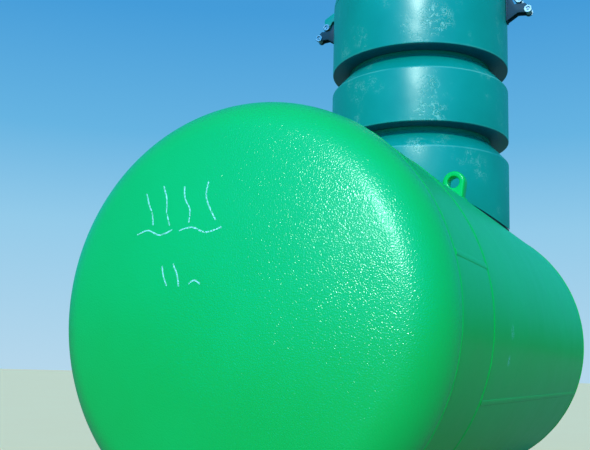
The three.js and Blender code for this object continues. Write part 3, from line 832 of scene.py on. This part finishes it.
strapOutline = [tuple(point) for point in (upper - off, lower - off, lower + off, upper + off)]
strap = platePiece("strap", strapOutline, link["width"])
softBevel(strap, link["strapBevel"])
latchLink = joined("latchLink", rolls + [strap])

pin = {
    "radius": 0.006, "gap": 0.0003, "washer": 0.005, "round": 0.0014, "steps": 40,
    "bore": 0.52, "stud": 0.75,  # shares of the washer's and of the pin's radius
}


def latchPin(name, x, z, headRadius):  # a pin through a washer on each side, its ends sunk in their bores
    half = latch["cheekInner"] + latch["cheekThick"] + pin["gap"]
    end = half + pin["washer"]
    hole, stud = headRadius * pin["bore"], pin["radius"] * pin["stud"]
    side = [
        (0, end - 0.001), (stud * 0.7, end - 0.001), (stud, end - 0.002), (stud, half + 0.001),
        (hole, half + 0.001), (hole, end - 0.0008), (hole + 0.0008, end), (headRadius - pin["round"], end),
        (headRadius, end - pin["round"]), (headRadius, half), (pin["radius"], half),
    ]
    profile = [(radius, -height) for radius, height in side] + side[::-1]
    return spunShape(name, profile, pin["steps"], "Y", (x, 0, z))


eyePin = latchPin("eyePin", eyeX, eyeZ, latch["eyeHead"])
hingePin = latchPin("hingePin", hingeX, hingeZ, latch["hingeHead"])

latchParts = (
    (bracket, "latchBracket", bracketNylon, "bracketNylon", "latch_bracket"),
    (lidEar, "lidEar", neckPlastic, "neckPlastic", "lid_ear"),
    (latchLink, "latchLink", zinc, "galvanised", "latch_link"),
    (eyePin, "latchEyePin", zinc, "galvanised", "latch_eye_pin"),
    (hingePin, "latchHingePin", zinc, "galvanised", "latch_hinge_pin"),
)
for side, heading in (("right", -90), ("left", 90)):
    turn = Matrix.Rotation(math.radians(heading + latch["turn"]), 4, "Z")
    place = Matrix.Translation(neckCentre) @ turn
    for model, name, material, slotName, node in latchParts:
        piece = copyOf(model, name + side.title(), place)
        finishPiece(piece, material, slotName, f"{node}_{side}", smooth=35)
for model in (bracket, lidEar, latchLink, eyePin, hingePin):
    bpy.data.objects.remove(model)

print("latches made")

# Chalk marks on the near head: plain strokes, as (left, up) millimetres from the vessel's axis

strokes = [
    [(246, 330), (232, 300), (214, 268), (206, 236)],
    [(186, 346), (168, 306), (162, 268), (146, 230)],
    [(112, 338), (104, 302), (84, 270), (82, 234)],
    [(34, 344), (36, 306), (20, 270), (-2, 236)],
    [(262, 212), (222, 222), (178, 206), (134, 218)],
    [(112, 214), (70, 220), (24, 204), (-24, 216)],
    [(158, 120), (152, 94), (138, 66)],
    [(122, 124), (106, 96), (98, 64)],
    [(66, 70), (48, 78), (30, 68)],
]
chalkLine = {
    "lane": 4.0 / 3, "step": 1.6, "lift": 0.4, "thickness": 0.3,  # in millimetres
    "missing": 0.36,  # share of the crumbs that didn't stick
    "curveSteps": 24,
}


def smoothStroke(points):
    fine = []
    for i in range(len(points) - 1):
        p0, p1 = points[max(0, i - 1)], points[i]
        p2, p3 = points[i + 1], points[min(len(points) - 1, i + 2)]
        for k in range(chalkLine["curveSteps"]):
            t = k / chalkLine["curveSteps"]
            fine.append(tuple(0.5 * (2 * b + (c - a) * t + (2 * a - 5 * b + 4 * c - d) * t * t
                                     + (3 * b - a - 3 * c + d) * t ** 3)
                              for a, b, c, d in zip(p0, p1, p2, p3)))
    return fine + [points[-1]]


def onNearHead(left, up):
    y, z = left / 1000, up / 1000
    out = headDepth(math.hypot(y, z)) + chalkLine["lift"] / 1000
    return Vector((-tank["seamX"] - out, y, tank["axisZ"] + z))


rng = random.Random(7)
mesh = bmesh.new()
for stroke in strokes:
    fine = smoothStroke(stroke)
    for (a0, b0), (a1, b1) in zip(fine, fine[1:]):
        length = math.hypot(a1 - a0, b1 - b0)
        pieces = max(1, round(length / chalkLine["step"]))
        nx, ny = -(b1 - b0) / max(length, 1e-6), (a1 - a0) / max(length, 1e-6)
        for k in range(pieces):
            for lane in (-1, 0, 1):
                if rng.random() < chalkLine["missing"]:
                    continue
                t0, t1 = k / pieces, (k + 1) / pieces
                low, high = (lane - 0.5) * chalkLine["lane"], (lane + 0.5) * chalkLine["lane"]
                quad = [(a0 + (a1 - a0) * t + nx * s, b0 + (b1 - b0) * t + ny * s)
                        for t, s in ((t0, low), (t1, low), (t1, high), (t0, high))]
                mesh.faces.new([mesh.verts.new(onNearHead(*corner)) for corner in quad])
bmesh.ops.remove_doubles(mesh, verts=mesh.verts, dist=0.00005)
data = bpy.data.meshes.new("chalkMarks")
mesh.to_mesh(data)
mesh.free()
marks = bpy.data.objects.new("chalkMarks", data)
bpy.context.collection.objects.link(marks)
withModifier(marks, "SOLIDIFY", thickness=chalkLine["thickness"] / 1000, offset=0)
finishPiece(marks, chalk, "vesselCoat")

print("chalk marks made")

# Stage: a plain pale floor, soft light and the camera

stage = {
    "floorRadius": 60, "floorZ": -0.0005, "floorColours": ("#efcda0", "#f4d3a6"),
    "floorThrown": "#8e8463",  # what the floor throws back: duller than it looks to the camera
    "floorGlow": "#ffaa65", "floorLift": 0.30, "shadeReach": 2.0,
}
deselectAll()
bpy.ops.mesh.primitive_circle_add(vertices=96, radius=stage["floorRadius"], fill_type="NGON",
                                  location=(0, 0, stage["floorZ"]))
floor = settle(nameIt("studioFloor"))
floorPaint, tree, shader, place = startMaterial("paleFloorPaint")
tone = addNode(tree, "TexNoise", {0: place, "Scale": 1.5, "Detail": 3.0}).outputs["Fac"]
colour = addNode(tree, "Mix", {0: tone, 6: stage["floorColours"][0], 7: stage["floorColours"][1]},
                 data_type="RGBA").outputs[2]
# painted light: for the camera only, the floor glows warm, and the glow fades under the tank as painted shade
seen = addNode(tree, "LightPath").outputs["Is Camera Ray"]
thrown = addNode(tree, "Mix", {0: seen, 6: stage["floorThrown"], 7: colour}, data_type="RGBA").outputs[2]
unshaded = addNode(tree, "AmbientOcclusion", {"Distance": stage["shadeReach"]}, samples=8).outputs["AO"]
share = addNode(tree, "Math", {0: seen, 1: unshaded}, operation="MULTIPLY").outputs[0]
lift = addNode(tree, "Math", {0: share, 1: stage["floorLift"]}, operation="MULTIPLY").outputs[0]
setSockets(tree, shader, {"Base Color": thrown, "Roughness": 0.8, "Emission Color": stage["floorGlow"],
                          "Emission Strength": lift})
floor.data.materials.append(floorPaint)

world = bpy.data.worlds.new("softStudio")
bpy.context.scene.world = world
world.use_nodes = True
sky = world.node_tree
direction = addNode(sky, "TexCoord").outputs["Generated"]
height = addNode(sky, "SeparateXYZ", {0: direction}).outputs["Z"]
# plain gradients by height: the camera sees one that pales downwards, and a greener one lights the tank
seenSky = ((0.00, "#b4d7ec"), (0.17, "#93cbea"), (0.28, "#66b4e2"), (0.42, "#449cd9"), (1.00, "#1f68b4"))
litSky = ((0.00, "#298a64"), (0.10, "#32a6b4"), (0.25, "#38badf"), (0.50, "#329ac8"), (0.90, "#38a6bc"))
key = {"azimuth": -164, "elevation": 29.5, "power": 1.85, "angle": 5.5, "colour": (0.78, 1.0, 0.90)}
glow = {"colour": "#00a0ff", "strength": 2.65, "focus": 2.6}  # the backdrop is brighter round the lamp
azimuth, elevation = math.radians(key["azimuth"]), math.radians(key["elevation"])
lampward = Vector((math.cos(azimuth) * math.cos(elevation), math.sin(azimuth) * math.cos(elevation),
                   math.sin(elevation)))


def skyRamp(stops):
    ramp = addNode(sky, "ValToRGB", {0: height})
    for i, (position, code) in enumerate(stops):
        element = ramp.color_ramp.elements[i] if i < 2 else ramp.color_ramp.elements.new(position)
        element.position = position
        element.color = hexColour(code)
    return ramp.outputs[0]


toLamp = addNode(sky, "VectorMath", {0: direction, 1: lampward}, operation="DOT_PRODUCT").outputs["Value"]
facing = addNode(sky, "Math", {0: toLamp, 1: 0.0}, operation="MAXIMUM").outputs[0]
spread = addNode(sky, "Math", {0: facing, 1: glow["focus"]}, operation="POWER").outputs[0]
power = addNode(sky, "Math", {0: spread, 1: glow["strength"]}, operation="MULTIPLY").outputs[0]
halo = addNode(sky, "VectorMath", {0: hexColour(glow["colour"])[:3], "Scale": power},
               operation="SCALE").outputs[0]
lit = addNode(sky, "VectorMath", {0: skyRamp(litSky), 1: halo}, operation="ADD").outputs[0]
seen = addNode(sky, "LightPath").outputs["Is Camera Ray"]
studio = addNode(sky, "Mix", {0: seen, 6: lit, 7: skyRamp(seenSky)}, data_type="RGBA").outputs[2]
setSockets(sky, sky.nodes["Background"], {"Color": studio, "Strength": 1.0})

keyData = bpy.data.lights.new("keyLight", "SUN")
keyData.energy, keyData.angle, keyData.color = key["power"], math.radians(key["angle"]), key["colour"]
keyLight = bpy.data.objects.new("keyLight", keyData)
bpy.context.collection.objects.link(keyLight)
keyLight.rotation_euler = lampward.to_track_quat("Z", "Y").to_euler()

shot = {
    "place": (-2.9280, -1.1295, 0.5594), "yaw": 27.535, "pitch": 7.718, "roll": 1.427,
    "width": 590, "focal": 799.3, "rise": 35,  # in pixels of the photograph
    "sensor": 36, "farthest": 500,
}
yaw, pitch, roll = (math.radians(shot[angle]) for angle in ("yaw", "pitch", "roll"))
ahead = Vector((math.cos(pitch) * math.cos(yaw), math.cos(pitch) * math.sin(yaw), math.sin(pitch)))
level = Vector((math.sin(yaw), -math.cos(yaw), 0))
upright = level.cross(ahead)
right = level * math.cos(roll) + upright * math.sin(roll)
up = upright * math.cos(roll) - level * math.sin(roll)
cameraData = bpy.data.cameras.new("photoCamera")
cameraData.sensor_width = shot["sensor"]
cameraData.sensor_fit = "HORIZONTAL"
cameraData.lens = shot["focal"] / shot["width"] * shot["sensor"]
cameraData.shift_y = shot["rise"] / shot["width"]
cameraData.clip_end = shot["farthest"]
camera = bpy.data.objects.new("photoCamera", cameraData)
bpy.context.collection.objects.link(camera)
camera.matrix_world = Matrix((right, up, -ahead)).transposed().to_4x4()
camera.location = shot["place"]
bpy.context.scene.camera = camera
bpy.context.scene.view_settings.view_transform = "Standard"

print("stage set")

bpy.context.view_layer.update()
